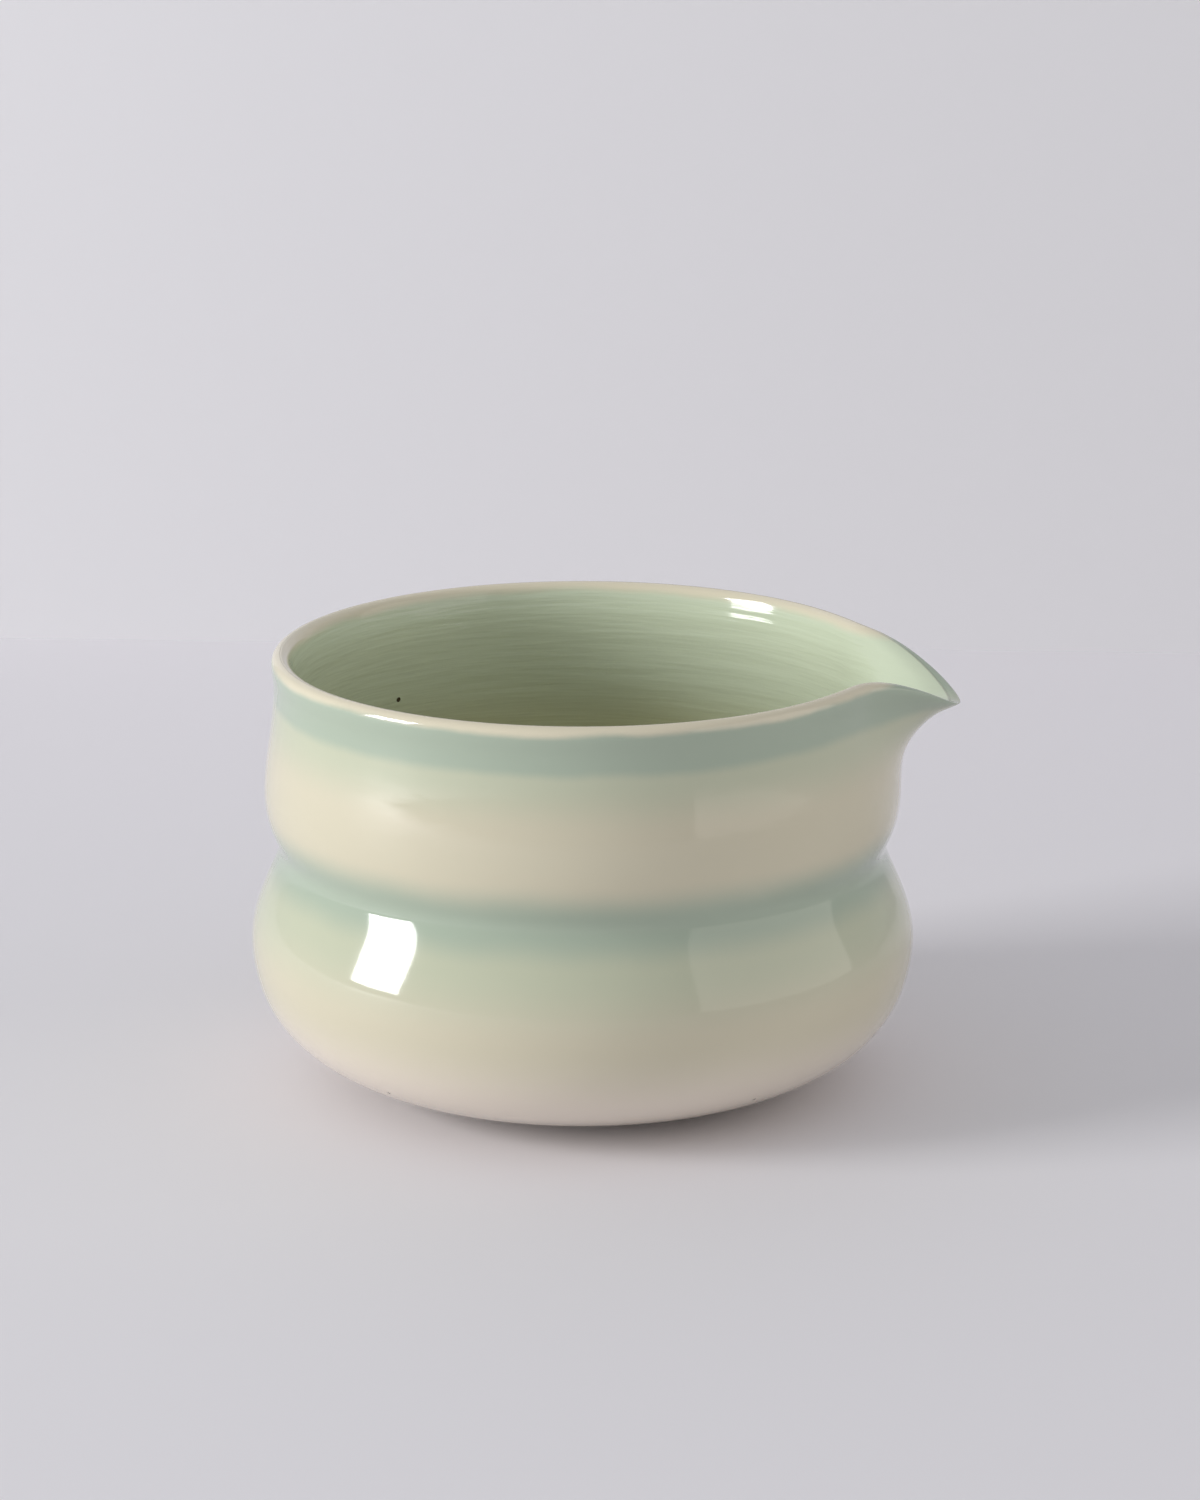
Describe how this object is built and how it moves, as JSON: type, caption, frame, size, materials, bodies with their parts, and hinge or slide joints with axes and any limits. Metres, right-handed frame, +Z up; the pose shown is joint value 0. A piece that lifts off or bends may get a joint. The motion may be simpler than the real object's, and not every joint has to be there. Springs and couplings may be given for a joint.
{
  "type": "spouted tea bowl",
  "caption": "Round glazed tea bowl with a narrow waist, a softly rounded lip, a short pulled pouring spout and a low trimmed foot ring.",
  "frame": {"origin": "centre of the bounding box's base, on the surface the foot stands on", "axes": "+Z up out of the mouth, +X towards the spout, +Y across"},
  "size_m": [0.1234, 0.1156, 0.076],
  "materials": {
    "clay": "matte",
    "outer_glaze": "gloss",
    "liner_glaze": "gloss",
    "well_glaze": "gloss"
  },
  "bodies": {
    "root": {"clay_body": "clay", "outer_glaze": "outer_glaze", "liner_glaze": "liner_glaze", "foot_well_glaze": "well_glaze"}
  },
  "joints": []
}
